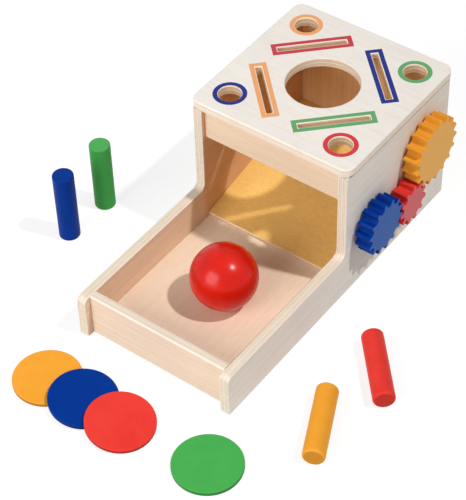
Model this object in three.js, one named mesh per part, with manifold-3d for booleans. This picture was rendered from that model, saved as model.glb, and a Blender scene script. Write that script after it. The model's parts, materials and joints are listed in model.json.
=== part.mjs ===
// Wooden drop box for a toddler: a ball, coins and pegs fall through the top, roll down a ramp and
// come out into an open tray. Three painted gears turn on the right wall.
// Millimetres, +Z up, +X towards the gears, -Y towards the tray. The origin lies on the table under the
// middle of the ball hole.
import * as THREE from 'three';
import { mergeVertices } from 'three/addons/utils/BufferGeometryUtils.js';
import Module from 'manifold-3d';

const wasm = await Module();
wasm.setup();

// Boards and joints
const ply = 8;                  // plywood of the box and the tray
const rampThickness = 3;        // fibreboard of the ramp
const edgeRound = 0.8;          // sanded edges of the boards
const glueGap = 0.2;            // glue line between two boards
const seatGap = 0.3;            // gap under a piece that lies or leans on another
const dowelDiameter = 4;        // hidden glue dowels
const dowelInRail = 12;         // length of a dowel in the end of a board
const dowelSkin = 3;            // wood left behind a dowel hole in a panel
const dowelPlay = 0.15;         // glue room round a dowel
const dowelEndPlay = 0.3;       // glue room at each end of a dowel
const backDowelInset = 26;      // dowels of the back panel from the table and from the top panel
const floorDowelInset = 40;     // dowels of the floor board from its ends
const topDowelInset = 28;       // dowels of the top panel from the ends of the side panels' upper edges

// Box and tray
const topSize = 140;            // square top panel
const topCornerRadius = 8;
const boxHeight = 124;          // table to the top face
const sideOverhang = 2;         // top panel past each side panel
const backOverhang = 2;         // top panel past the back
const frontOverhang = 1;        // top panel past the front edges of the side panels
const trayLength = 143;         // front of the box to the ends of the side panels
const trayHeight = 38;
const trayCornerRadius = 5;     // upper front corners of the side panels
const neckRadius = 6;           // inside corner between the box front and the tray edge
const footRadius = 2;           // lower corners of the side panels
const headerHeight = 28;
const headerSetback = 4;        // header behind the front edges of the side panels
const lipSetback = 6;           // lip behind the ends of the side panels
const lipRound = 2;             // rounded upper edges of the lip
const rampSetback = 4;          // foot of the ramp behind the box front
const rampSlope = 12;           // degrees
const cleatDepth = 10;
const cleatHeight = 9;

// Openings in the top panel
const ballHolePlay = 5;         // ball hole wider than the ball
const pegHolePlay = 1;          // peg hole wider than a peg
const pegHoleInset = 21.3;      // centre of a peg hole to the edges of the top panel
const slotEndPlay = 2;          // coin slot longer than a coin
const slotPlay = 1.5;           // coin slot wider than a coin is thick
const slotGap = 13.3;           // rim of the ball hole to a coin slot
const slotCornerRadius = 1;

// Gear train
const gearModule = 3.02;
const gearTeeth = { yellow: 17, red: 11, blue: 14 };
const gearThickness = 13;
const gearAddendum = { yellow: 2.3, red: 0.9, blue: 1.5 };   // teeth outside the pitch circle
const gearDedendum = { yellow: 1.6, red: 3, blue: 2.4 };     // gaps inside the pitch circle
const pressureAngle = 25;       // degrees
const toothBacklash = 0.5;      // taken from the thickness of each tooth
const meshPlay = 0.3;           // added to the distance between meshing gears
const toothRound = 0.75;         // rounding at the tips and roots of the teeth
const gearEdgeRound = 0.6;
const yellowFromBack = 38;      // yellow axle to the back of the box
const yellowBelowTop = 39.7;    // yellow axle to the underside of the top panel
const redDirection = -134.2;    // degrees in the side wall, from the yellow axle to the red one
const blueDirection = 170.2;    // degrees in the side wall, from the red axle to the blue one
const yellowToothAngle = -2.2;  // degrees, a tooth of the yellow gear at rest
const axleDiameter = 8;
const axlePlay = 0.1;           // radial room round an axle
const axleInGear = 8;           // depth of the blind bore in a gear's back
const axleReach = 0.5;          // inner end of an axle past the wall
const spacerDiameter = 18;
const spacerThickness = 1;
const spacerPlay = 0.25;        // each side of a spacer
const keeperDiameter = 15;      // washer on the inner end of an axle
const keeperThickness = 1.2;
const keeperPlay = 0.2;         // keeper to the axle end and to the screw head
const screwDiameter = 3;
const screwPlay = 0.15;
const screwLength = 14;
const screwHeadDiameter = 7;
const screwHeadHeight = 2.2;
const screwCrownDiameter = 4.2; // flat of the rounded head

// Loose pieces
const ballDiameter = 51;
const ballX = 4.4;
const ballFromLip = 66.7;       // middle of the ball behind the lip
const coinDiameter = 51;
const coinThickness = 3.5;
const coinRound = 0.8;
const coinSpacing = 34.6;       // one coin to the next in the leaning row
const coinRowX = -57.7;         // first coin of the row, which lies flat
const coinRowOut = 48.2;        // row in front of the tray
const coinRowDrift = 1.5;       // each next coin of the row a little further out
const singleCoinX = 82.2;
const singleCoinOut = 43.9;
const pegDiameter = 16.6;
const pegLength = 62;
const pegRound = 1.2;
const standingPegs = { blue: { x: -140.4, y: -137.7 }, green: { x: -139.5, y: -95.6 } };
const lyingPegs = {
  yellow: { x: 127.2, y: -185.9, angle: -64.8 },
  red: { x: 131.7, y: -120.6, angle: -48.6 },
};

// Places that follow from the sizes
const topHalf = topSize / 2;
const panelOuter = topHalf - sideOverhang;
const panelInner = panelOuter - ply;
const boxBack = topHalf - backOverhang;
const backInner = boxBack - ply;
const boxFront = frontOverhang - topHalf;
const trayFront = boxFront - trayLength;
const topUnderside = boxHeight - ply;
const lipFront = trayFront + lipSetback;
const lipBack = lipFront + ply;
const headerFront = boxFront + headerSetback;
const ballHole = ballDiameter + ballHolePlay;
const pegHole = pegDiameter + pegHolePlay;
const pegHoleOffset = topHalf - pegHoleInset;
const slotLength = coinDiameter + slotEndPlay;
const slotWidth = coinThickness + slotPlay;
const slotOffset = ballHole / 2 + slotGap + slotWidth / 2;

// Finishes
const colours = {
  plywood: '#ecd9bb',
  fibreboard: '#c98f45',
  beech: '#d8b98a',
  steel: '#b9bcc0',
  yellow: '#f0a020',
  red: '#d8281e',
  blue: '#143c96',
  green: '#2f9a4c',
};
function finish(color, roughness, metalness) {
  return new THREE.MeshStandardMaterial({ color, roughness, metalness });
}
const finishes = {
  plywood: finish(colours.plywood, 0.6, 0),
  fibreboard: finish(colours.fibreboard, 0.6, 0),
  beech: finish(colours.beech, 0.6, 0),
  steel: finish(colours.steel, 0.35, 1),
  yellow: finish(colours.yellow, 0.3, 0),
  red: finish(colours.red, 0.3, 0),
  blue: finish(colours.blue, 0.3, 0),
  green: finish(colours.green, 0.3, 0),
};

// Facets of the round pieces, holes and corners
const dowelSides = 12;
const axleSegments = 20;
const fastenerSegments = 14;
const coinSegments = 36;
const pegSegments = 24;
const ballHoleSegments = 44;
const ballSegments = 28;
const panelCornerSegments = 5;
const boardCornerSegments = 4;
const slotCornerSegments = 2;
const toothCornerSegments = 2;
const weldDistance = 1e-4;

// Solids
const radians = THREE.MathUtils.degToRad;

function solidOf(geometry) {
  const bare = geometry.clone();
  bare.deleteAttribute('normal');
  bare.deleteAttribute('uv');
  const merged = mergeVertices(bare, weldDistance);
  const vertProperties = new Float32Array(merged.attributes.position.array);
  const triVerts = new Uint32Array(merged.index.array);
  return new wasm.Manifold(new wasm.Mesh({ numProp: 3, vertProperties, triVerts }));
}

function cut(geometry, tools) {
  const rest = tools.reduce((solid, tool) => solid.subtract(solidOf(tool)), solidOf(geometry));
  const mesh = rest.getMesh();
  const result = new THREE.BufferGeometry();
  result.setAttribute('position', new THREE.BufferAttribute(mesh.vertProperties, 3));
  result.setIndex(new THREE.BufferAttribute(mesh.triVerts, 1));
  return result;
}

// A round bar along Z from low to high. A hole's flats stand on its radius, a bar's corners do.
function bar(radius, low, high, sides) {
  return new THREE.CylinderGeometry(radius, radius, high - low, sides)
    .rotateX(Math.PI / 2)
    .translate(0, 0, (low + high) / 2);
}

function drill(radius, low, high, sides) {
  return bar(radius / Math.cos(Math.PI / sides), low, high, sides);
}

// A slab from low to high along Z with its outline's edges broken on both faces.
function slab(shape, low, high, round, curveSegments) {
  return new THREE.ExtrudeGeometry(shape, {
    depth: high - low - 2 * round,
    bevelEnabled: true,
    bevelSize: round,
    bevelOffset: -round,
    bevelThickness: round,
    bevelSegments: 1,
    curveSegments,
  }).translate(0, 0, low + round);
}

// A rectangle with round corners about a centre, turned by an angle.
function roundedRectangle(width, height, radius, centre, angle) {
  const shape = new THREE.Shape();
  const turn = new THREE.Vector2();
  for (let corner = 0; corner < 4; corner += 1) {
    const sideX = corner === 0 || corner === 3 ? 1 : -1;
    const sideY = corner < 2 ? 1 : -1;
    turn.set(sideX * (width / 2 - radius), sideY * (height / 2 - radius));
    turn.rotateAround(new THREE.Vector2(), angle).add(centre);
    const start = angle + (corner * Math.PI) / 2;
    shape.absarc(turn.x, turn.y, radius, start, start + Math.PI / 2, false);
  }
  return shape;
}

// Turns a profile, given as [radius, height] points, about Z.
function turned(profile, segments) {
  const points = profile.map(([radius, height]) => new THREE.Vector2(radius, height));
  return new THREE.LatheGeometry(points, segments).rotateX(Math.PI / 2);
}

// Scene graph. In the group across, local x, y and z are the toy's y, z and x.
const toy = new THREE.Group();
const across = new THREE.Group();
across.quaternion.setFromAxisAngle(new THREE.Vector3(1, 1, 1).normalize(), (2 * Math.PI) / 3);
toy.add(across);

function addPiece(parent, name, geometry, finishName) {
  const piece = new THREE.Mesh(geometry, finishes[finishName]);
  piece.name = name;
  parent.add(piece);
  return piece;
}

// Axles of the gears, as places in the side wall
const pitchRadius = (colour) => (gearModule * gearTeeth[colour]) / 2;

function nextAxle(from, fromColour, toColour, direction) {
  const distance = pitchRadius(fromColour) + pitchRadius(toColour) + meshPlay;
  const step = new THREE.Vector2(distance, 0).rotateAround(new THREE.Vector2(), radians(direction));
  return from.clone().add(step);
}

const yellowAxle = new THREE.Vector2(boxBack - yellowFromBack, topUnderside - yellowBelowTop);
const redAxle = nextAxle(yellowAxle, 'yellow', 'red', redDirection);
const blueAxle = nextAxle(redAxle, 'red', 'blue', blueDirection);
const axles = { yellow: yellowAxle, red: redAxle, blue: blueAxle };

// Glue dowels: places in the side wall of those that join each board to the side panels
const dowelInPanel = ply - dowelSkin;
const headerMiddle = new THREE.Vector2(headerFront + ply / 2, topUnderside - headerHeight / 2);
const lipMiddle = new THREE.Vector2(lipFront + ply / 2, trayHeight / 2);
const backMiddle = boxBack - ply / 2;
const boardDowels = {
  header: { middle: headerMiddle },
  back: {
    low: new THREE.Vector2(backMiddle, backDowelInset),
    high: new THREE.Vector2(backMiddle, topUnderside - backDowelInset),
  },
  floor: {
    rear: new THREE.Vector2(backInner - floorDowelInset, ply / 2),
    front: new THREE.Vector2(lipBack + floorDowelInset, ply / 2),
  },
  lip: { middle: lipMiddle },
};
const topDowelPlaces = { rear: boxBack - topDowelInset, front: boxFront + topDowelInset };
const sides = { left: -1, right: 1 };

function dowelHoles(places, side) {
  const low = side < 0 ? -panelInner - dowelInPanel : panelInner - dowelInRail;
  const high = side < 0 ? -panelInner + dowelInRail : panelInner + dowelInPanel;
  const radius = dowelDiameter / 2 + dowelPlay;
  return places.map((place) => drill(radius, low, high, dowelSides).translate(place.x, place.y, 0));
}

function addDowels() {
  const reach = dowelInPanel - dowelEndPlay;
  const root = dowelInRail - dowelEndPlay;
  for (const [sideName, side] of Object.entries(sides)) {
    const ends = [side * (panelInner + reach), side * (panelInner - root)].sort((a, b) => a - b);
    for (const [board, places] of Object.entries(boardDowels)) {
      for (const [spot, place] of Object.entries(places)) {
        const dowel = bar(dowelDiameter / 2, ends[0], ends[1], dowelSides);
        const piece = addPiece(across, `${board}_dowel_${sideName}_${spot}`, dowel, 'beech');
        piece.position.set(place.x, place.y, 0);
      }
    }
    for (const [spot, y] of Object.entries(topDowelPlaces)) {
      const dowel = bar(dowelDiameter / 2, topUnderside - root, topUnderside + reach, dowelSides);
      addPiece(toy, `top_dowel_${sideName}_${spot}`, dowel, 'beech')
        .position.set(side * (panelOuter - ply / 2), y, 0);
    }
  }
}

// Side panels: an L with a round upper corner at the tray's front and a round neck at the box front
function sideOutline() {
  const upper = topUnderside - glueGap;
  const outline = new THREE.Shape();
  outline.moveTo(boxBack, upper);
  outline.lineTo(boxFront, upper);
  outline.lineTo(boxFront, trayHeight + neckRadius);
  outline.absarc(boxFront - neckRadius, trayHeight + neckRadius, neckRadius, 0, -Math.PI / 2, true);
  const corner = new THREE.Vector2(trayFront + trayCornerRadius, trayHeight - trayCornerRadius);
  outline.absarc(corner.x, corner.y, trayCornerRadius, Math.PI / 2, Math.PI, false);
  outline.absarc(trayFront + footRadius, footRadius, footRadius, Math.PI, 1.5 * Math.PI, false);
  outline.absarc(boxBack - footRadius, footRadius, footRadius, -Math.PI / 2, 0, false);
  return outline;
}

function topEdgeHoles(side) {
  const radius = dowelDiameter / 2 + dowelPlay;
  const x = side * (panelOuter - ply / 2);
  return Object.values(topDowelPlaces).map((y) => (
    drill(radius, topUnderside - dowelInRail, topUnderside + dowelInPanel, dowelSides).translate(x, y, 0)
  ));
}

function addSidePanels() {
  const boardPlaces = Object.values(boardDowels).flatMap((places) => Object.values(places));
  const toWall = across.quaternion.clone().invert();
  for (const [sideName, side] of Object.entries(sides)) {
    const low = side < 0 ? -panelOuter : panelInner;
    const blank = slab(sideOutline(), low, low + ply, edgeRound, panelCornerSegments);
    const tools = dowelHoles(boardPlaces, side);
    tools.push(...topEdgeHoles(side).map((hole) => hole.applyQuaternion(toWall)));
    if (side > 0) {
      const radius = axleDiameter / 2 + axlePlay;
      for (const axle of Object.values(axles)) {
        const through = drill(radius, panelInner - ply, panelOuter + ply, axleSegments);
        tools.push(through.translate(axle.x, axle.y, 0));
      }
    }
    addPiece(across, `${sideName}_side_panel`, cut(blank, tools), 'plywood');
  }
}

// Boards between the side panels, as profiles in the side wall drawn out across the toy
function addCrossBoard(name, profile, places, finishName) {
  const reach = panelInner - glueGap;
  const blank = new THREE.ExtrudeGeometry(profile, {
    depth: 2 * reach,
    bevelEnabled: false,
    curveSegments: boardCornerSegments,
  }).translate(0, 0, -reach);
  const tools = [...dowelHoles(places, -1), ...dowelHoles(places, 1)];
  addPiece(across, name, cut(blank, tools), finishName);
}

function boardProfile(front, back, low, high, round) {
  const centre = new THREE.Vector2((front + back) / 2, (low + high) / 2);
  return roundedRectangle(back - front, high - low, round, centre, 0);
}

function addBoards() {
  const { header, back, floor, lip } = boardDowels;
  const upper = topUnderside - glueGap;
  const lower = topUnderside - headerHeight;
  const headerProfile = boardProfile(headerFront, headerFront + ply, lower, upper, edgeRound);
  addCrossBoard('header_rail', headerProfile, Object.values(header), 'plywood');
  const backProfile = boardProfile(backInner, boxBack, 0, upper, edgeRound);
  addCrossBoard('back_panel', backProfile, Object.values(back), 'plywood');
  const floorProfile = boardProfile(lipBack + glueGap, backInner - glueGap, 0, ply, edgeRound);
  addCrossBoard('floor_board', floorProfile, Object.values(floor), 'plywood');
  const lipProfile = boardProfile(lipFront, lipBack, 0, trayHeight, lipRound);
  addCrossBoard('tray_front_lip', lipProfile, Object.values(lip), 'plywood');
}

// Ramp: a square-cut foot on the floor board and a plumb upper end at the back panel
function addRamp() {
  const rise = Math.tan(radians(rampSlope));
  const foot = new THREE.Vector2(boxFront + rampSetback, ply + seatGap);
  const lean = new THREE.Vector2(0, rampThickness).rotateAround(new THREE.Vector2(), radians(rampSlope));
  const lip = foot.clone().add(lean);
  const end = backInner - seatGap;
  const ramp = new THREE.Shape([
    foot,
    new THREE.Vector2(end, foot.y + (end - foot.x) * rise),
    new THREE.Vector2(end, lip.y + (end - lip.x) * rise),
    lip,
  ]);
  addCrossBoard('ramp_board', ramp, [], 'fibreboard');

  const underside = (y) => foot.y + (y - foot.x) * rise - seatGap / Math.cos(radians(rampSlope));
  const cleatBack = backInner - glueGap;
  const cleatFront = cleatBack - cleatDepth;
  const cleatLow = underside(cleatFront) - cleatHeight;
  const cleat = new THREE.Shape([
    new THREE.Vector2(cleatFront, cleatLow),
    new THREE.Vector2(cleatBack, cleatLow),
    new THREE.Vector2(cleatBack, underside(cleatBack)),
    new THREE.Vector2(cleatFront, underside(cleatFront)),
  ]);
  addCrossBoard('ramp_back_cleat', cleat, [], 'plywood');
}

// Top panel with the ball hole, a peg hole in each corner and a coin slot across each diagonal
function addTopPanel() {
  const middleOfTop = new THREE.Vector2();
  const outline = roundedRectangle(topSize, topSize, topCornerRadius, middleOfTop, 0);
  const blank = slab(outline, topUnderside, boxHeight, edgeRound, panelCornerSegments);
  const below = topUnderside - ply;
  const above = boxHeight + ply;
  const tools = [drill(ballHole / 2, below, above, ballHoleSegments)];
  for (let quarter = 0; quarter < 4; quarter += 1) {
    const diagonal = Math.PI / 4 + (quarter * Math.PI) / 2;
    const signX = Math.sign(Math.cos(diagonal));
    const signY = Math.sign(Math.sin(diagonal));
    const pegDrill = drill(pegHole / 2, below, above, pegSegments);
    tools.push(pegDrill.translate(signX * pegHoleOffset, signY * pegHoleOffset, 0));
    const middle = new THREE.Vector2(slotOffset, 0).rotateAround(new THREE.Vector2(), diagonal);
    const slot = roundedRectangle(slotWidth, slotLength, slotCornerRadius, middle, diagonal);
    tools.push(new THREE.ExtrudeGeometry(slot, {
      depth: above - below,
      bevelEnabled: false,
      curveSegments: slotCornerSegments,
    }).translate(0, 0, below));
  }
  tools.push(...topEdgeHoles(-1), ...topEdgeHoles(1));
  addPiece(toy, 'top_panel', cut(blank, tools), 'plywood');
}

// Gear outline: involute flanks with rounded tips and roots
const involute = (angle) => Math.tan(angle) - angle;

function gearOutline(colour, toothAngle) {
  const teeth = gearTeeth[colour];
  const pitch = pitchRadius(colour);
  const base = pitch * Math.cos(radians(pressureAngle));
  const tip = pitch + gearAddendum[colour];
  const root = pitch - gearDedendum[colour];
  const thickness = (Math.PI * gearModule) / 2 - toothBacklash;
  const halfAngle = (radius) => {
    const pressure = Math.acos(Math.min(1, base / Math.max(radius, base)));
    return thickness / (2 * pitch) + involute(radians(pressureAngle)) - involute(pressure);
  };
  const at = (radius, angle) => [radius * Math.cos(angle), radius * Math.sin(angle)];
  const outline = new THREE.Shape();
  const step = (2 * Math.PI) / teeth;
  for (let tooth = 0; tooth < teeth; tooth += 1) {
    const middle = toothAngle + tooth * step;
    const rootHalf = halfAngle(root);
    const tipHalf = halfAngle(tip);
    const rootTurn = toothRound / root;
    const tipTurn = toothRound / tip;
    const start = at(root, middle - rootHalf - rootTurn);
    if (tooth === 0) outline.moveTo(...start);
    else outline.lineTo(...start);
    outline.quadraticCurveTo(
      ...at(root, middle - rootHalf), ...at(root + toothRound, middle - halfAngle(root + toothRound)),
    );
    outline.lineTo(...at(tip - toothRound, middle - halfAngle(tip - toothRound)));
    outline.quadraticCurveTo(...at(tip, middle - tipHalf), ...at(tip, middle - tipHalf + tipTurn));
    outline.lineTo(...at(tip, middle + tipHalf - tipTurn));
    outline.quadraticCurveTo(
      ...at(tip, middle + tipHalf), ...at(tip - toothRound, middle + halfAngle(tip - toothRound)),
    );
    outline.lineTo(...at(root + toothRound, middle + halfAngle(root + toothRound)));
    outline.quadraticCurveTo(...at(root, middle + rootHalf), ...at(root, middle + rootHalf + rootTurn));
  }
  return outline;
}

// The tooth angle of a gear that meshes with another: its tooth stands in the other's gap
function meshingAngle(fromAngle, fromTeeth, teeth, direction) {
  const fromStep = (2 * Math.PI) / fromTeeth;
  const offset = (direction - fromAngle) / fromStep;
  return direction + Math.PI - (0.5 - offset) * ((2 * Math.PI) / teeth);
}

const yellowAngle = radians(yellowToothAngle);
const redAngle = meshingAngle(yellowAngle, gearTeeth.yellow, gearTeeth.red, radians(redDirection));
const blueAngle = meshingAngle(redAngle, gearTeeth.red, gearTeeth.blue, radians(blueDirection));
const toothAngles = { yellow: yellowAngle, red: redAngle, blue: blueAngle };

// One gear with its axle, spacer, keeper and screw, along the axle's own z
function addGear(colour) {
  const group = new THREE.Group();
  group.position.set(axles[colour].x, axles[colour].y, 0);
  across.add(group);

  const gearBack = panelOuter + spacerThickness + 2 * spacerPlay;
  const axleRadius = axleDiameter / 2;
  const boreEnd = gearBack + axleInGear;
  const outline = gearOutline(colour, toothAngles[colour]);
  const gearFront = gearBack + gearThickness;
  const gearBlank = slab(outline, gearBack, gearFront, gearEdgeRound, toothCornerSegments);
  const bore = drill(axleRadius + axlePlay, gearBack - ply, boreEnd, axleSegments);
  addPiece(group, `${colour}_gear`, cut(gearBlank, [bore]), colour);

  const inner = panelInner - axleReach;
  const outer = boreEnd - seatGap;
  const pilot = screwDiameter / 2 + screwPlay;
  const keeperOuter = inner - keeperPlay;
  const headFace = keeperOuter - keeperThickness - keeperPlay;
  const screwTip = headFace + screwLength;
  addPiece(group, `${colour}_axle`, turned([
    [0, screwTip + seatGap], [pilot, screwTip + seatGap], [pilot, inner],
    [axleRadius, inner], [axleRadius, outer], [0, outer],
  ], axleSegments), 'beech');

  const washer = (radius, hole, low, thickness) => turned([
    [hole, low], [radius, low], [radius, low + thickness], [hole, low + thickness], [hole, low],
  ], axleSegments);
  const spacerHole = axleRadius + 2 * axlePlay;
  const spacer = washer(spacerDiameter / 2, spacerHole, panelOuter + spacerPlay, spacerThickness);
  addPiece(group, `${colour}_spacer_washer`, spacer, 'beech');
  const keeper = washer(keeperDiameter / 2, pilot, keeperOuter - keeperThickness, keeperThickness);
  addPiece(group, `${colour}_keeper_washer`, keeper, 'steel');

  const head = screwHeadDiameter / 2;
  const headTop = headFace - screwHeadHeight;
  const shank = screwDiameter / 2;
  addPiece(group, `${colour}_screw`, turned([
    [0, headTop], [screwCrownDiameter / 2, headTop], [head, (headTop + headFace) / 2], [head, headFace],
    [shank, headFace], [shank, screwTip], [0, screwTip],
  ], fastenerSegments), 'steel');
}

// Loose pieces: discs and rods turned with broken rims
function roundedDisc(radius, height, round, segments) {
  const face = radius - round;
  return turned([
    [0, 0], [face, 0], [radius, round], [radius, height - round], [face, height], [0, height],
  ], segments);
}

function addBall() {
  const radius = ballDiameter / 2;
  const ball = new THREE.SphereGeometry(radius, ballSegments, ballSegments / 2).rotateX(Math.PI / 2);
  addPiece(toy, 'ball', ball, 'red').position.set(ballX, lipBack + ballFromLip, ply + seatGap + radius);
}

// The first coin of the row lies flat, and each next one leans on the coin before it
function addCoins() {
  const radius = coinDiameter / 2;
  const lean = Math.atan2(coinThickness + seatGap, coinSpacing);
  const coin = roundedDisc(radius, coinThickness, coinRound, coinSegments);
  ['yellow', 'blue', 'red'].forEach((colour, place) => {
    const tilt = place > 0 ? lean : 0;
    const piece = addPiece(toy, `${colour}_coin`, coin, colour);
    piece.rotation.y = tilt;
    const rowY = trayFront - coinRowOut - place * coinRowDrift;
    piece.position.set(coinRowX + place * coinSpacing, rowY, radius * Math.sin(tilt));
  });
  addPiece(toy, 'green_coin', coin, 'green').position.set(singleCoinX, trayFront - singleCoinOut, 0);
}

function addPegs() {
  const radius = pegDiameter / 2;
  const peg = roundedDisc(radius, pegLength, pegRound, pegSegments);
  for (const [colour, place] of Object.entries(standingPegs)) {
    addPiece(toy, `${colour}_peg`, peg, colour).position.set(place.x, place.y, 0);
  }
  for (const [colour, place] of Object.entries(lyingPegs)) {
    const turn = new THREE.Group();
    turn.position.set(place.x, place.y, radius);
    turn.rotation.z = radians(place.angle);
    toy.add(turn);
    const piece = addPiece(turn, `${colour}_peg`, peg, colour);
    piece.rotation.y = Math.PI / 2;
    piece.position.x = -pegLength / 2;
  }
}

addSidePanels();
addBoards();
addRamp();
addTopPanel();
addDowels();
Object.keys(gearTeeth).forEach(addGear);
addBall();
addCoins();
addPegs();

export default toy;
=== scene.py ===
import bpy
import bmesh
import json
from math import acos, atan2, cos, pi, radians, sin, tan
from mathutils import Matrix, Vector


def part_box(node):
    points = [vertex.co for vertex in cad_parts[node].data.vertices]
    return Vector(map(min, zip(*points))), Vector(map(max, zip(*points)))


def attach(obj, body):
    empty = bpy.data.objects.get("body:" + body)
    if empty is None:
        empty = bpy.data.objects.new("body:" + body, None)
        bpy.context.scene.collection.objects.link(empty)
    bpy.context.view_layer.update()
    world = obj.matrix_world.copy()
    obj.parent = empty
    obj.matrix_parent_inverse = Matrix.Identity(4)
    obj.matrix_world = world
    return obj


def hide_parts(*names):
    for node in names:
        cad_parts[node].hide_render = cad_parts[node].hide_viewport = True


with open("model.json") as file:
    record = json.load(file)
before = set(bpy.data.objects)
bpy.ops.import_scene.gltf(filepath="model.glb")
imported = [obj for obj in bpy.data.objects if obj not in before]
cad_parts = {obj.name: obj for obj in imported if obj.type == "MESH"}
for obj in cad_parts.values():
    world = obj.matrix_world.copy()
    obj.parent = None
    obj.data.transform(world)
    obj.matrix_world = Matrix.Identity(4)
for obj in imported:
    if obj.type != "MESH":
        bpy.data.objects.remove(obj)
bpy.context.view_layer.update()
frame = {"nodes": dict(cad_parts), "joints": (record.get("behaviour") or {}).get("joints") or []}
mm = 0.001
scene = bpy.context.scene
joints = {joint["name"]: joint for joint in frame["joints"]}


# Materials

# sRGB hex to linear red, green, blue and alpha
def toLinear(hexColour):
    channels = [int(hexColour[i:i + 2], 16) / 255 for i in (1, 3, 5)]
    return [c / 12.92 if c <= 0.04045 else ((c + 0.055) / 1.055) ** 2.4 for c in channels] + [1.0]


# Adds a node, fills its inputs in order or by name with values or links, and gives its first output
def addNode(tree, kind, *inputs, **settings):
    node = tree.nodes.new("ShaderNode" + kind)
    filled = list(zip(node.inputs, inputs))
    for key, value in settings.items():
        if key in node.inputs:
            filled.append((node.inputs[key], value))
        else:
            setattr(node, key, value)
    for socket, value in filled:
        if isinstance(value, bpy.types.NodeSocket):
            tree.links.new(value, socket)
        else:
            socket.default_value = value
    return node.outputs[0]


def newMaterial(name, **values):
    material = bpy.data.materials.new(name)
    material.use_nodes = True
    tree = material.node_tree
    shader = tree.nodes["Principled BSDF"]
    for key, value in values.items():
        shader.inputs[key.replace("_", " ")].default_value = value
    coords = addNode(tree, "TexCoord").node.outputs["Object"]
    return material, tree, shader, coords


# Noise whose pattern has the given real lengths along x, y and z, in millimetres
def pattern(tree, coords, sizes, detail, roughness=0.55, distortion=0.0):
    scaled = addNode(tree, "Mapping", coords, Scale=[1 / (size * mm) for size in sizes])
    return addNode(tree, "TexNoise", scaled, Scale=1.0, Detail=detail, Roughness=roughness,
                   Distortion=distortion)


def finishShader(tree, shader, tone, rough, height, strength, distance):
    bump = addNode(tree, "Bump", Strength=strength, Distance=distance * mm, Height=height)
    tree.links.new(tone, shader.inputs["Base Color"])
    tree.links.new(rough, shader.inputs["Roughness"])
    tree.links.new(bump, shader.inputs["Normal"])


def grey(value):
    return [value, value, value, 1.0]


# Birch plywood, sanded and thinly lacquered: a pale face veneer with faint long streaks and short fine
# pores, and on every cut edge the stacked veneers with brown glue lines between them

plyLook = {
    "layers": 5,
    "skin": 0.015,                  # share of the thickness that keeps the tone of a face
    "faceLayer": 0.02,              # share of the thickness over which the face fades into its veneer
    "insideShadeFrom": (-72.0, -66.0),      # mm along y, where the painted shade inside the box sets in
    "bored": 2.6,                   # how much darker the layers show on drilled and sawn walls
    "seam": "#5e544c",              # painted shade of the joint under the overhang of the top
    "glueLine": 0.18,               # mm, drawn about twice as thick as a real one so that it shows
    "glue": "#d6b78f",
    "face": "#ffffff",
    "crossLayer": "#fcf3e6",        # end grain of the crosswise veneers
    "alongLayer": "#fffdf8",
    "streakWidth": 2.6,             # mm across the grain
    "streakLength": 95.0,           # mm along the grain
    "poreWidth": 0.7,               # mm, about twice a real pore so that it shows
    "poreLength": 9.0,
    "cloudSize": 38.0,              # mm, slow change of tone over a sheet
}
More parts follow.
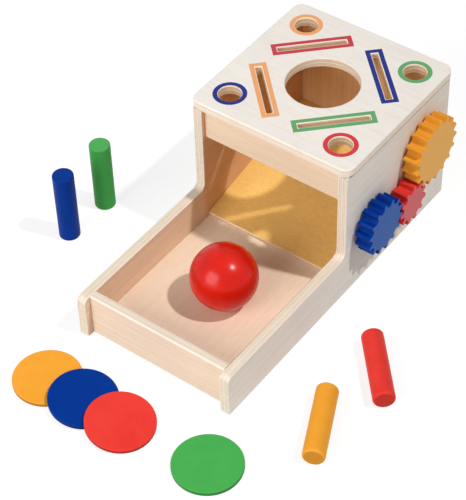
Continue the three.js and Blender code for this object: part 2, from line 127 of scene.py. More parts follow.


# through is the axis across the layers; the faces at its low and high end can have tones of their own, and
# behind the front of the box darker, warmer tones as painted shade and bounce light
def plywood(name, node, through, grain, tones, lowTones=None, highTones=None, insideShadeTones=None, prints=None):
    low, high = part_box(node)
    axis = "XYZ".index(through)
    material, tree, shader, coords = newMaterial(name, IOR=1.48, Specular_IOR_Level=0.25)
    parts = addNode(tree, "SeparateXYZ", coords).node.outputs

    depth = addNode(tree, "MapRange", parts[through], low[axis], high[axis], 0.0, 1.0)
    layers = addNode(tree, "ValToRGB", depth)
    stops = layers.node.color_ramp.elements
    stops[0].color = stops[1].color = toLinear(plyLook["face"])
    for end in (plyLook["faceLayer"], 1 - plyLook["faceLayer"]):
        stops.new(end).color = toLinear(plyLook["alongLayer"])
    half = plyLook["glueLine"] * mm / (high[axis] - low[axis]) / 2
    for layer in range(1, plyLook["layers"]):
        seam = layer / plyLook["layers"]
        before, after = ("alongLayer", "crossLayer") if layer % 2 else ("crossLayer", "alongLayer")
        for offset, key in ((-1.6, before), (-0.6, "glue"), (0.6, "glue"), (1.6, after)):
            stops.new(seam + offset * half).color = toLinear(plyLook[key])

    along = "XYZ".index(grain)
    streakSizes = [plyLook["streakWidth"]] * 3
    streakSizes[along] = plyLook["streakLength"]
    poreSizes = [plyLook["poreWidth"]] * 3
    poreSizes[along] = plyLook["poreLength"]
    streaks = pattern(tree, coords, streakSizes, 5, 0.62, 0.35)
    pores = pattern(tree, coords, poreSizes, 2, 0.5)
    clouds = pattern(tree, coords, [plyLook["cloudSize"]] * 3, 3)
    streaky = addNode(tree, "MapRange", streaks, 0.3, 0.72, 0.0, 1.0)
    tone = addNode(tree, "MixRGB", streaky, toLinear(tones[0]), toLinear(tones[1]))
    insideShadeStart, insideShadeEnd = (y * mm for y in plyLook["insideShadeFrom"])
    skin = plyLook["skin"]
    for pair, operation, end in ((lowTones, "LESS_THAN", skin), (highTones, "GREATER_THAN", 1 - skin)):
        if pair:
            second = addNode(tree, "MixRGB", streaky, toLinear(pair[0]), toLinear(pair[1]))
            if insideShadeTones:
                insideShade = addNode(tree, "MixRGB", streaky, toLinear(insideShadeTones[0]), toLinear(insideShadeTones[1]))
                insideBox = addNode(tree, "MapRange", parts["Y"], insideShadeStart, insideShadeEnd, 0.0, 1.0)
                second = addNode(tree, "MixRGB", insideBox, second, insideShade)
            onFace = addNode(tree, "Math", depth, end, operation=operation)
            tone = addNode(tree, "MixRGB", onFace, tone, second)
    fine = addNode(tree, "MapRange", pores, 0.28, 0.42, 0.91, 1.0)
    slow = addNode(tree, "MapRange", clouds, 0.3, 0.7, 0.955, 1.0)
    bored = addNode(tree, "Attribute", attribute_name="boredWall").node.outputs["Fac"]
    burnt = addNode(tree, "MixRGB", bored, grey(1.0), addNode(tree, "Gamma", layers, plyLook["bored"]))
    # painted shade along the lower edge of the top, under its overhang
    seamShadeMask = addNode(tree, "Attribute", attribute_name="paintedSeamShade").node.outputs["Fac"]
    shaded = addNode(tree, "MixRGB", seamShadeMask, grey(1.0), toLinear(plyLook["seam"]))
    for shade in (fine, slow, layers, burnt, shaded):
        tone = addNode(tree, "MixRGB", 1.0, tone, shade, blend_type="MULTIPLY")
    if prints:
        tone = prints(tree, parts, tone, high[axis])

    rough = addNode(tree, "MapRange", streaks, 0.3, 0.7, 0.5, 0.62)
    height = addNode(tree, "Math", pores, 0.6, streaks, operation="MULTIPLY_ADD")
    finishShader(tree, shader, tone, rough, height, 0.12, 0.15)
    return material


# Screen-printed marks on the top: a ring round each peg hole and a frame round each coin slot, in flat
# ink that lets a little of the grain through

printLook = {
    "holeOffset": 48.7, "ringInner": 9.2, "ringOuter": 12.75,
    "slotOffset": 43.8, "frameOuter": (30.75, 6.55), "frameInner": (27.1, 3.05),
    "inkDepth": 0.3,                # mm below the top face that still shows ink
    "rings": {"leftBack": "#f9ae74", "rightBack": "#68ab6e",
              "rightFront": "#da3f45", "leftFront": "#213186"},
    "frames": {"leftBack": "#cf4350", "rightBack": "#213186",
               "rightFront": "#68ab6e", "leftFront": "#f9ae74"},
}


def topPrints(tree, parts, tone, topFace):
    look = printLook
    diagonal = 0.5 ** 0.5

    def quarterColour(colours):
        right = addNode(tree, "Math", parts["X"], 0.0, operation="GREATER_THAN")
        back = addNode(tree, "Math", parts["Y"], 0.0, operation="GREATER_THAN")
        rear, front = (addNode(tree, "MixRGB", right, toLinear(colours["left" + row]),
                               toLinear(colours["right" + row])) for row in ("Back", "Front"))
        return addNode(tree, "MixRGB", back, front, rear)

    # 1 where both lengths are under their limits
    def within(first, firstLimit, second, secondLimit):
        one = addNode(tree, "Math", first, firstLimit * mm, operation="LESS_THAN")
        other = addNode(tree, "Math", second, secondLimit * mm, operation="LESS_THAN")
        return addNode(tree, "Math", one, other, operation="MULTIPLY")

    x = addNode(tree, "Math", parts["X"], operation="ABSOLUTE")
    y = addNode(tree, "Math", parts["Y"], operation="ABSOLUTE")
    hole = [look["holeOffset"] * mm, look["holeOffset"] * mm, 0]
    fromHole = addNode(tree, "VectorMath", addNode(tree, "CombineXYZ", x, y), hole,
                       operation="DISTANCE").node.outputs["Value"]
    sideways = addNode(tree, "Math", addNode(tree, "Math", x, y, operation="ADD"), diagonal,
                       -look["slotOffset"] * mm, operation="MULTIPLY_ADD")
    across = addNode(tree, "Math", sideways, operation="ABSOLUTE")
    lengthways = addNode(tree, "Math", addNode(tree, "Math", x, y, operation="SUBTRACT"), diagonal,
                         operation="MULTIPLY")
    along = addNode(tree, "Math", lengthways, operation="ABSOLUTE")

    ring = [within(fromHole, look[key], fromHole, look[key]) for key in ("ringOuter", "ringInner")]
    border = [within(along, look[key][0], across, look[key][1]) for key in ("frameOuter", "frameInner")]
    onTop = addNode(tree, "Math", parts["Z"], topFace - look["inkDepth"] * mm, operation="GREATER_THAN")
    veil = addNode(tree, "MapRange", addNode(tree, "RGBToBW", tone), 0.6, 0.9, 0.88, 1.0)
    for (whole, middle), colours in ((ring, look["rings"]), (border, look["frames"])):
        ink = addNode(tree, "MixRGB", 1.0, quarterColour(colours), veil, blend_type="MULTIPLY")
        mask = addNode(tree, "Math", whole, middle, operation="SUBTRACT")
        tone = addNode(tree, "MixRGB", addNode(tree, "Math", mask, onTop, operation="MULTIPLY"), tone, ink)
    return tone


# Thin fibreboard: pressed ochre fibres with fine pale and dark flecks, and a paler sawn edge

fibreLook = {"light": "#ffd784", "dark": "#f5bf64", "fleck": "#b9823c", "sawn": "#fdeac8",
             "fibre": (5.0, 0.9, 0.9), "fleckSpacing": 2.4, "cloudSize": 26.0}


def fibreboard(name):
    look = fibreLook
    material, tree, shader, coords = newMaterial(name, IOR=1.47, Specular_IOR_Level=0.25)
    fibres = pattern(tree, coords, look["fibre"], 4, 0.7, 0.6)
    clouds = pattern(tree, coords, [look["cloudSize"]] * 3, 2)
    mixed = addNode(tree, "MapRange", fibres, 0.3, 0.7, 0.0, 1.0)
    tone = addNode(tree, "MixRGB", mixed, toLinear(look["dark"]), toLinear(look["light"]))
    flecks = addNode(tree, "TexVoronoi", coords, Scale=1 / (look["fleckSpacing"] * mm))
    spots = addNode(tree, "MapRange", flecks, 0.1, 0.22, 0.3, 0.0)
    tone = addNode(tree, "MixRGB", spots, tone, toLinear(look["fleck"]))
    slow = addNode(tree, "MapRange", clouds, 0.3, 0.7, 0.94, 1.0)
    tone = addNode(tree, "MixRGB", 1.0, tone, slow, blend_type="MULTIPLY")
    sawn = addNode(tree, "Attribute", attribute_name="sawnEdge").node.outputs["Fac"]
    tone = addNode(tree, "MixRGB", sawn, tone, toLinear(look["sawn"]))
    rough = addNode(tree, "MapRange", fibres, 0.3, 0.7, 0.44, 0.58)
    finishShader(tree, shader, tone, rough, fibres, 0.15, 0.12)
    return material


# Water-based paint on turned or sawn wood: dull even colour with slow drifts of tone, a fine orange-peel
# skin over faint raised grain, paler paint along the edges as wear and painted highlight, paler faces as
# painted sheen and light, and a darker tone on sides and ends as painted shade

paintLook = {
    "driftSize": 14.0,              # mm
    "grain": (1.4, 30.0, 1.4),      # mm
    "peelSize": 1.1,                # mm
    # painted shade for the sides of coins and pegs
    "paintedShade": "#c8c2c2",
    "dull": (0.42, 0.06),           # roughness and specular level of the gears, coins and pegs
    "gloss": (0.23, 0.26),          # the same of the ball
}


def paintedWood(name, colour, pale, deep, roughness, specular):
    look = paintLook
    material, tree, shader, coords = newMaterial(name, IOR=1.5, Specular_IOR_Level=specular)
    drift = pattern(tree, coords, [look["driftSize"]] * 3, 3)
    grain = pattern(tree, coords, look["grain"], 3, 0.6, 0.3)
    peel = pattern(tree, coords, [look["peelSize"]] * 3, 2)
    slow = addNode(tree, "MapRange", drift, 0.3, 0.7, 0.0, 1.0)
    tone = addNode(tree, "MixRGB", slow, toLinear(deep), toLinear(colour))
    lines = addNode(tree, "MapRange", grain, 0.55, 0.75, 0.0, 0.25)
    tone = addNode(tree, "MixRGB", lines, tone, toLinear(deep))
    # paler edges: worn paint and painted highlight
    wornAndHighlit = addNode(tree, "Attribute", attribute_name="wornEdgeAndHighlight").node.outputs["Fac"]
    patches = addNode(tree, "MapRange", peel, 0.35, 0.65, 0.1, 0.5)
    thin = addNode(tree, "Math", wornAndHighlit, patches, operation="MULTIPLY")
    tone = addNode(tree, "MixRGB", thin, tone, toLinear(pale))
    # paler marked faces: painted sheen and light
    sanded = addNode(tree, "Attribute", attribute_name="sandedFace").node.outputs["Fac"]
    tone = addNode(tree, "MixRGB", sanded, tone, toLinear(pale))
    # painted shade on the marked sides and ends
    shadeMask = addNode(tree, "Attribute", attribute_name="paintedShade").node.outputs["Fac"]
    tone = addNode(tree, "MixRGB", shadeMask, tone, toLinear(look["paintedShade"]), blend_type="MULTIPLY")
    rough = addNode(tree, "MapRange", drift, 0.3, 0.7, roughness - 0.04, roughness + 0.05)
    height = addNode(tree, "Math", grain, 1.7, peel, operation="MULTIPLY_ADD")
    finishShader(tree, shader, tone, rough, height, 0.06, 0.05)
    return material


# Bare turned beech: pink-tan, with short dark flecks along the rod

beechLook = {"dark": "#d3aa78", "light": "#e4c294", "fleck": "#98683c",
             "grain": (12.0, 1.2, 1.2), "flecks": (2.6, 0.6, 0.6)}


def beechWood(name):
    look = beechLook
    material, tree, shader, coords = newMaterial(name, IOR=1.48, Specular_IOR_Level=0.25)
    grain = pattern(tree, coords, look["grain"], 4, 0.6)
    flecks = pattern(tree, coords, look["flecks"], 2)
    streaky = addNode(tree, "MapRange", grain, 0.3, 0.7, 0.0, 1.0)
    tone = addNode(tree, "MixRGB", streaky, toLinear(look["dark"]), toLinear(look["light"]))
    dark = addNode(tree, "MapRange", flecks, 0.6, 0.7, 0.0, 0.6)
    tone = addNode(tree, "MixRGB", dark, tone, toLinear(look["fleck"]))
    rough = addNode(tree, "MapRange", grain, 0.3, 0.7, 0.55, 0.68)
    finishShader(tree, shader, tone, rough, grain, 0.12, 0.1)
    return material


# Zinc-plated steel: cool grey metal with a slightly cloudy plating

steelLook = {"dark": "#9da2a8", "light": "#c3c7cb", "cloudSize": 3.0, "scratch": (0.4, 0.4, 6.0)}


def zincSteel(name):
    look = steelLook
    material, tree, shader, coords = newMaterial(name, Metallic=1.0)
    clouds = pattern(tree, coords, [look["cloudSize"]] * 3, 4, 0.6)
    scratches = pattern(tree, coords, look["scratch"], 2)
    cloudy = addNode(tree, "MapRange", clouds, 0.3, 0.7, 0.0, 1.0)
    tone = addNode(tree, "MixRGB", cloudy, toLinear(look["dark"]), toLinear(look["light"]))
    rough = addNode(tree, "MapRange", clouds, 0.3, 0.7, 0.26, 0.42)
    finishShader(tree, shader, tone, rough, scratches, 0.08, 0.02)
    return material


# Lighter and darker streaks of each sheet
topTones = ("#fffaf3", "#fbf1e6")       # nearly white face veneer of the top
sideTones = ("#f7f0e7", "#ece2d5")      # outer faces of the sides, and cut edges
innerTones = ("#f1d6ba", "#e5c3a4")     # inner faces of the sides, warmer with painted bounce light
warmTones = ("#f8e3cc", "#f2dac0")      # floor
lipTones = ("#f6e0c9", "#ebd1b7")       # lip of the tray
headerTones = ("#f4dcc0", "#e9cdad")    # header above the open front
insideShadeTones = ("#e8bb92", "#ddad82")       # painted shade and bounce light on the inner faces of the sides, inside the box
backTones = ("#f6d3a5", "#ebbf8a")      # inside of the back, warmer with painted bounce light

woods = {
    "top_panel": plywood("birch_ply_top", "top_panel", "Z", "X", topTones, prints=topPrints),
    "left_side_panel": plywood("birch_ply_left_side", "left_side_panel", "X", "Y", sideTones,
                               highTones=innerTones, insideShadeTones=insideShadeTones),
    "right_side_panel": plywood("birch_ply_right_side", "right_side_panel", "X", "Y", sideTones,
                                lowTones=innerTones, insideShadeTones=insideShadeTones),
    "header_rail": plywood("birch_ply_header", "header_rail", "Y", "X", sideTones, headerTones, headerTones),
    "back_panel": plywood("birch_ply_back", "back_panel", "Y", "Z", sideTones, backTones),
    "floor_board": plywood("birch_ply_floor", "floor_board", "Z", "Y", sideTones, warmTones, warmTones),
    "tray_front_lip": plywood("birch_ply_lip", "tray_front_lip", "Y", "X", sideTones, lipTones, lipTones),
    "ramp_back_cleat": plywood("birch_ply_cleat", "ramp_back_cleat", "Z", "X", warmTones),
}
fibre = fibreboard("pressed_fibreboard")
beech = beechWood("turned_beech")
steel = zincSteel("zinc_plated_steel")
paintTones = {                          # even coat, paler tone for worn edges and painted light, deep spots
    "yellow": ("#f5a83b", "#fac878", "#f1a22f"),
    "red": ("#ea4138", "#cf8791", "#e43a32"),
    "blue": ("#003590", "#4a7cc6", "#003189"),
    "green": ("#4bae53", "#84c788", "#46a94f"),
}
paints = {colour: paintedWood(f"{colour}_paint_on_wood", *tones, *paintLook["dull"])
          for colour, tones in paintTones.items()}
glossRed = paintedWood("red_gloss_paint_on_ball", "#df1a07", "#e54534", "#cf1304", *paintLook["gloss"])
print("materials made")


# Mesh helpers

smoothAngle = radians(38)               # edges up to this angle are shaded smooth
cutReach = 3 * mm                       # how far a cutter stands past what it cuts


# Turns a mesh into a piece of a body, in place of the named solids
def place(bm, name, body, slotName, material, *replaced):
    bmesh.ops.remove_doubles(bm, verts=bm.verts, dist=0.5e-6)
    bmesh.ops.recalc_face_normals(bm, faces=bm.faces)
    mesh = bpy.data.meshes.new(name)
    bm.to_mesh(mesh)
    bm.free()
    mesh.materials.append(material)
    mesh.shade_smooth()
    mesh.set_sharp_from_angle(angle=smoothAngle)
    piece = bpy.data.objects.new(name, mesh)
    scene.collection.objects.link(piece)
    weighted = piece.modifiers.new("faceNormals", "WEIGHTED_NORMAL")
    weighted.keep_sharp = True
    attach(piece, body)
    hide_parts(*replaced)


# Rounds edges; an attribute marks the new faces for the materials to read
def bevelEdges(bm, edges, width, segments, attribute=None):
    made = bmesh.ops.bevel(bm, geom=list(edges), offset=width, offset_type="OFFSET", segments=segments,
                           profile=0.5, affect="EDGES", material=-1, clamp_overlap=True)
    if attribute:
        layer = bm.faces.layers.float.get(attribute) or bm.faces.layers.float.new(attribute)
        for face in made["faces"]:
            if face.is_valid:
                face[layer] = 1.0


# Marks faces by a test of their normal, for the materials to read
def markFaces(bm, attribute, value, test):
    layer = bm.faces.layers.float.new(attribute)
    for face in bm.faces:
        face.normal_update()
        face[layer] = value if test(face.normal) else 0.0


def sharpEdges(bm, angle=40):
    return [e for e in bm.edges if len(e.link_faces) == 2 and e.calc_face_angle(0) > radians(angle)]


def boxBetween(low, high):
    bm = bmesh.new()
    bmesh.ops.create_cube(bm, size=1)
    bmesh.ops.scale(bm, vec=Vector(high) - Vector(low), verts=bm.verts)
    bmesh.ops.translate(bm, vec=(Vector(high) + Vector(low)) / 2, verts=bm.verts)
    return bm


# A prism: corner points in the side wall, as (y, z), drawn out along x from low to high
def prism(corners, low, high):
    bm = bmesh.new()
    face = bm.faces.new([bm.verts.new((low, y, z)) for y, z in corners])
    made = bmesh.ops.extrude_face_region(bm, geom=[face])
    moved = [v for v in made["geom"] if isinstance(v, bmesh.types.BMVert)]
    bmesh.ops.translate(bm, vec=(high - low, 0, 0), verts=moved)
    bmesh.ops.recalc_face_normals(bm, faces=bm.faces)
    return bm


# A turned solid: (radius, height) points of a profile, spun about z; it starts and ends on the axis, or closes
# on itself for a ring
def turned(profile, steps):
    bm = bmesh.new()
    verts = [bm.verts.new((radius, 0, height)) for radius, height in profile]
    edges = [bm.edges.new(pair) for pair in zip(verts, verts[1:])]
    bmesh.ops.spin(bm, geom=verts + edges, cent=(0, 0, 0), axis=(0, 0, 1), angle=2 * pi, steps=steps,
                   use_merge=True)
    bmesh.ops.remove_doubles(bm, verts=bm.verts, dist=1e-6)
    bmesh.ops.recalc_face_normals(bm, faces=bm.faces)
    return bm


def ringEdges(bm):
    return [e for e in sharpEdges(bm) if abs(e.verts[0].co.z - e.verts[1].co.z) < 1e-7]


# Takes the cutters out of a mesh and gives the rest
def cutAway(bm, cutters):
    mesh = bpy.data.meshes.new("blank")
    bm.to_mesh(mesh)
    bm.free()
    blank = bpy.data.objects.new("blank", mesh)
    scene.collection.objects.link(blank)
    tools = []
    for cutter in cutters:
        bmesh.ops.recalc_face_normals(cutter, faces=cutter.faces)
        toolMesh = bpy.data.meshes.new("cutter")
        cutter.to_mesh(toolMesh)
        cutter.free()
        tool = bpy.data.objects.new("cutter", toolMesh)
        scene.collection.objects.link(tool)
        tools.append(tool)
        step = blank.modifiers.new("cut", "BOOLEAN")
        step.operation = "DIFFERENCE"
        step.solver = "EXACT"
        step.object = tool
    shown = blank.evaluated_get(bpy.context.evaluated_depsgraph_get())
    result = bmesh.new()
    result.from_mesh(shown.to_mesh())
    for item in [blank, *tools]:
        data = item.data
        bpy.data.objects.remove(item)
        bpy.data.meshes.remove(data)
    return result


# A cutter for a round hole with rounded rims
def holeCutter(centre, radius, low, high, rim, steps):
    arc = [radians(15 * step) for step in range(7)]
    lower = [(radius + rim - rim * sin(a), low + rim - rim * cos(a)) for a in arc]
    upper = [(radius + rim - rim * cos(a), high - rim + rim * sin(a)) for a in arc]
    profile = [(0, low - cutReach), (radius + rim, low - cutReach), *lower, *upper,
               (radius + rim, high + cutReach), (0, high + cutReach)]
    bm = turned(profile, steps)
    bmesh.ops.translate(bm, vec=(centre[0], centre[1], 0), verts=bm.verts)
    return bm


# Top panel

topLook = {"corner": 8.0, "edge": 1.0, "lowerEdge": 1.7, "ballHole": 56.0, "pegHole": 17.6,
           "slot": (5.0, 53.0), "slotCorner": 1.2, "rim": 0.7, "slotRim": 0.5, "ballHoleBurn": 0.4}


# A cutter for a coin slot with rounded corners and rims
def slotCutter(low, high):
    width, length = topLook["slot"]
    rim = topLook["slotRim"] * mm
    bm = bmesh.new()
    bmesh.ops.create_grid(bm, x_segments=1, y_segments=1, size=0.5)
    bmesh.ops.scale(bm, vec=(width * mm, length * mm, 1), verts=bm.verts)
    bmesh.ops.bevel(bm, geom=list(bm.verts), offset=topLook["slotCorner"] * mm, offset_type="OFFSET",
                    segments=5, profile=0.5, affect="VERTICES", material=-1)
    bmesh.ops.translate(bm, vec=(0, 0, low + rim), verts=bm.verts)
    arc = [radians(18 * step) for step in range(6)]

    # each level is (height, growth of the slot past its own size)
    rise = [(high - rim + rim * sin(a), rim - rim * cos(a)) for a in arc] + [(high + cutReach, rim)]
    fall = [(low + rim - rim * sin(a), rim - rim * cos(a)) for a in arc[1:]] + [(low - cutReach, rim)]
    start = list(bm.faces)
    for levels in (rise, fall):
        faces, grown = start, 0.0
        for height, growth in levels:
            made = bmesh.ops.extrude_face_region(bm, geom=faces)
            if levels is fall or faces is not start:
                bmesh.ops.delete(bm, geom=faces, context="FACES_ONLY")
            faces = [f for f in made["geom"] if isinstance(f, bmesh.types.BMFace)]
            verts = {v for f in faces for v in f.verts}
            bmesh.ops.translate(bm, vec=(0, 0, height - faces[0].verts[0].co.z), verts=list(verts))
            wider = ((width * mm + 2 * growth) / (width * mm + 2 * grown),
                     (length * mm + 2 * growth) / (length * mm + 2 * grown), 1)
            bmesh.ops.scale(bm, vec=wider, verts=list(verts))
            grown = growth
    return bm


def makeTopPanel():
    low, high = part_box("top_panel")
    bm = boxBetween(low, high)
    upright = [e for e in bm.edges if abs(e.verts[0].co.z - e.verts[1].co.z) > 1 * mm]
    bevelEdges(bm, upright, topLook["corner"] * mm, 10)
    lower = [e for e in sharpEdges(bm) if max(v.co.z for v in e.verts) < low.z + 1e-6]
    bevelEdges(bm, lower, topLook["lowerEdge"] * mm, 4)
    upper = [e for e in sharpEdges(bm) if min(v.co.z for v in e.verts) > high.z - 1e-6]
    bevelEdges(bm, upper, topLook["edge"] * mm, 4)
    rim = topLook["rim"] * mm
    cutters = [holeCutter((0, 0), topLook["ballHole"] / 2 * mm, low.z, high.z, rim, 96)]
    offset = printLook["holeOffset"] * mm
    for quarter in range(4):
        turn = radians(45 + 90 * quarter)
        signs = (1 if cos(turn) > 0 else -1, 1 if sin(turn) > 0 else -1)
        centre = (signs[0] * offset, signs[1] * offset)
        cutters.append(holeCutter(centre, topLook["pegHole"] / 2 * mm, low.z, high.z, rim, 56))
        slot = slotCutter(low.z, high.z)
        bmesh.ops.translate(slot, vec=(printLook["slotOffset"] * mm, 0, 0), verts=slot.verts)
        bmesh.ops.rotate(slot, cent=(0, 0, 0), matrix=Matrix.Rotation(turn, 3, "Z"), verts=slot.verts)
        cutters.append(slot)
    bm = cutAway(bm, cutters)
    # walls of the holes and slots, and painted shade on the joint under the overhang on the right and at the
    # back
    bored = bm.faces.layers.float.new("boredWall")
    inset = topLook["corner"] * mm
    for face in bm.faces:
        centre = face.calc_center_median()
        if max(abs(centre.x), abs(centre.y)) < high.x - inset:
            small = centre.xy.length > topLook["ballHole"] / 2 * mm + 2 * rim
            face[bored] = (1.0 if small else topLook["ballHoleBurn"]) * (1 - abs(face.normal.z))
    markFaces(bm, "paintedSeamShade", 1.0,
              lambda normal: -0.9 < normal.z < -0.1 and max(normal.x, normal.y) > 0.75)
    place(bm, "top_board", "box", "plywood", woods["top_panel"], "top_panel")


makeTopPanel()
print("top panel made")


# Side panels

sideLook = {"behindTop": 1.0, "neck": 6.0, "trayCorner": 5.0, "foot": 2.0, "edge": 0.9, "axleHole": 4.1}


def makeSidePanel(node, axles):
    low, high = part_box(node)
    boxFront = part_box("top_panel")[0].y + sideLook["behindTop"] * mm
    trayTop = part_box("tray_front_lip")[1].z
    corners = [(high.y, low.z), (high.y, high.z), (boxFront, high.z), (boxFront, trayTop),
               (low.y, trayTop), (low.y, low.z)]
    bm = prism(corners, low.x, high.x)
    rounds = {(boxFront, trayTop): "neck", (low.y, trayTop): "trayCorner",
              (low.y, low.z): "foot", (high.y, low.z): "foot"}
    for (y, z), key in rounds.items():
        spot = Vector((0, y, z))
        corner = [e for e in bm.edges if all((Vector((0, *v.co.yz)) - spot).length < 1e-6 for v in e.verts)]
        bevelEdges(bm, corner, sideLook[key] * mm, 8)
    rim = [e for e in sharpEdges(bm) if abs(e.verts[0].co.x - e.verts[1].co.x) < 1e-7]
    bevelEdges(bm, rim, sideLook["edge"] * mm, 3)
    cutters = []
    radius = sideLook["axleHole"] * mm
    for axle in axles:
        bore = turned([(0, low.x - cutReach), (radius, low.x - cutReach),
                       (radius, high.x + cutReach), (0, high.x + cutReach)], 40)
        bmesh.ops.rotate(bore, cent=(0, 0, 0), matrix=Matrix.Rotation(pi / 2, 3, "Y"), verts=bore.verts)
        bmesh.ops.translate(bore, vec=(0, axle[1], axle[2]), verts=bore.verts)
        cutters.append(bore)
    if cutters:
        bm = cutAway(bm, cutters)
    place(bm, node.replace("panel", "board"), "box", "plywood", woods[node], node)


gearJoints = {colour: joints[f"{colour}_gear_spin"] for colour in ("yellow", "red", "blue")}
makeSidePanel("left_side_panel", [])
makeSidePanel("right_side_panel", [joint["pos_m"] for joint in gearJoints.values()])
print("side panels made")


# Boards between the side panels

# Rounding of each board's long edges, in mm
boardLook = {"header_rail": 0.8, "back_panel": 0.8, "floor_board": 0.5, "tray_front_lip": 2.0}


def makeBoard(node, edge):
    low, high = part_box(node)
    bm = boxBetween(low, high)
    lengthwise = [e for e in bm.edges if abs(e.verts[0].co.x - e.verts[1].co.x) > 1 * mm]
    bevelEdges(bm, lengthwise, edge * mm, 5)
    place(bm, f"{node}_piece", "box", "plywood", woods[node], node)


for boardNode, boardEdge in boardLook.items():
    makeBoard(boardNode, boardEdge)


# Ramp

rampLook = {"slope": 12.0, "thickness": 3.0, "edge": 0.25}


def makeRamp():
    low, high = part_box("ramp_board")
    slope = radians(rampLook["slope"])
    thick = rampLook["thickness"] * mm
    foot = Vector((low.y + thick * sin(slope), low.z))
    crown = Vector((low.y, low.z + thick * cos(slope)))
    corners = [foot, (high.y, foot.y + (high.y - foot.x) * tan(slope)),
               (high.y, crown.y + (high.y - crown.x) * tan(slope)), crown]
    bm = prism(corners, low.x, high.x)
    lengthwise = [e for e in bm.edges if abs(e.verts[0].co.x - e.verts[1].co.x) > 1 * mm]
    bevelEdges(bm, lengthwise, rampLook["edge"] * mm, 2)
    markFaces(bm, "sawnEdge", 1.0, lambda normal: normal.y < -0.6)
    place(bm, "ramp_sheet", "box", "fibreboard", fibre, "ramp_board")


makeRamp()
print("boards and ramp made")


# Gears: rounded teeth on the part's own pitch circles

gearLook = {"teeth": {"yellow": 17, "red": 11, "blue": 14}, "module": 3.02,
            "addendum": {"yellow": 2.3, "red": 0.9, "blue": 1.5},
            "dedendum": {"yellow": 1.6, "red": 3.0, "blue": 2.4},
            "pressure": 25.0, "backlash": 0.5, "toothRound": 0.75, "faceRound": 0.55, "bore": 4.1,
            "boreDepth": 8.0, "yellowTooth": -2.2, "sanded": 0.5}


def involute(angle):
    return tan(angle) - angle


# Flat outline of a gear, with one tooth at toothAngle
def gearFace(colour, toothAngle):
    look = gearLook
    teeth = look["teeth"][colour]
    pitch = look["module"] * teeth / 2
    base = pitch * cos(radians(look["pressure"]))
    root, tip = pitch - look["dedendum"][colour], pitch + look["addendum"][colour]
    flank = (pi * look["module"] / 2 - look["backlash"]) / (2 * pitch) + involute(radians(look["pressure"]))

    def corner(radius, side):
        half = flank - involute(acos(min(1, base / max(radius, base))))
        return (radius * mm * cos(toothAngle + side * half), radius * mm * sin(toothAngle + side * half), 0)

    bm = bmesh.new()
    step = 2 * pi / teeth
    last = Matrix.Rotation(step, 3, "Z") @ Vector(corner(root, -1))
    points = [corner(root, -1), corner(tip, -1), corner(tip, 1), corner(root, 1), last]
    verts = [bm.verts.new(point) for point in points]
    edges = [bm.edges.new(pair) for pair in zip(verts, verts[1:])]
    bmesh.ops.spin(bm, geom=verts + edges, cent=(0, 0, 0), axis=(0, 0, 1), angle=2 * pi - step,
                   steps=teeth - 1, use_duplicate=True)
    bmesh.ops.remove_doubles(bm, verts=bm.verts, dist=1e-6)
    bmesh.ops.contextual_create(bm, geom=list(bm.edges))
    bmesh.ops.bevel(bm, geom=list(bm.verts), offset=look["toothRound"] * mm, offset_type="OFFSET",
                    segments=4, profile=0.5, affect="VERTICES", material=-1)
    return bm


# Each next gear turns a gap towards the tooth of the one that drives it
def toothAngles():
    teeth = gearLook["teeth"]
    angles = {"yellow": radians(gearLook["yellowTooth"])}
    for known, wanted in (("yellow", "red"), ("red", "blue")):
        start, end = gearJoints[known]["pos_m"], gearJoints[wanted]["pos_m"]
        direction = atan2(end[2] - start[2], end[1] - start[1])
        offset = (direction - angles[known]) * teeth[known] / (2 * pi)
        angles[wanted] = direction + pi - (0.5 - offset) * 2 * pi / teeth[wanted]
    return angles


# From an axle's own x, y and z to the toy's y, z and x
acrossTurn = Matrix(((0, 0, 1), (1, 0, 0), (0, 1, 0)))


def ontoAxle(bm, joint):
    bmesh.ops.rotate(bm, cent=(0, 0, 0), matrix=acrossTurn, verts=bm.verts)
    bmesh.ops.translate(bm, vec=(0, joint["pos_m"][1], joint["pos_m"][2]), verts=bm.verts)
    return bm


def makeGear(colour, toothAngle):
    low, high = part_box(f"{colour}_gear")
    bm = gearFace(colour, toothAngle)
    made = bmesh.ops.extrude_face_region(bm, geom=list(bm.faces))
    top = [v for v in made["geom"] if isinstance(v, bmesh.types.BMVert)]
    bmesh.ops.translate(bm, vec=(0, 0, high.x - low.x), verts=top)
    bmesh.ops.recalc_face_normals(bm, faces=bm.faces)
    rims = [e for e in sharpEdges(bm, 60) if abs(e.verts[0].co.z - e.verts[1].co.z) < 1e-7]
    bevelEdges(bm, rims, gearLook["faceRound"] * mm, 3, "wornEdgeAndHighlight")
    # paler flat faces: painted sheen of the bright surroundings
    markFaces(bm, "sandedFace", gearLook["sanded"], lambda normal: abs(normal.z) > 0.95)
    bmesh.ops.translate(bm, vec=(0, 0, low.x), verts=bm.verts)
    radius, depth = gearLook["bore"] * mm, gearLook["boreDepth"] * mm
    bore = turned([(0, low.x - cutReach), (radius, low.x - cutReach),
                   (radius, low.x + depth), (0, low.x + depth)], 40)
    bm = cutAway(bm, [bore])
    place(ontoAxle(bm, gearJoints[colour]), f"{colour}_gear_wheel", f"{colour}_gear_set",
          f"{colour}_paint", paints[colour], f"{colour}_gear")


# Axle, washers and screw of one gear

axleLook = {"axle": 4.0, "axleEdge": 0.5, "pilot": 1.65, "pilotRoom": 0.3,
            "spacer": 9.0, "spacerHole": 4.2, "spacerEdge": 0.2, "keeper": 7.5, "keeperEdge": 0.25,
            "screwHead": 3.5, "headGap": 0.2, "headRise": 0.9, "crownEdge": 0.4, "screwShank": 1.5,
            "crossWidth": 1.0, "crossLength": 4.0, "crossDepth": 1.1,
            "threadPitch": 1.2, "threadDepth": 0.25, "bareTip": 2.0, "tip": 0.3}


def washer(low, high, radius, hole, edge):
    bm = turned([(hole, low), (radius, low), (radius, high), (hole, high), (hole, low)], 56)
    bevelEdges(bm, ringEdges(bm), edge, 2)
    return bm


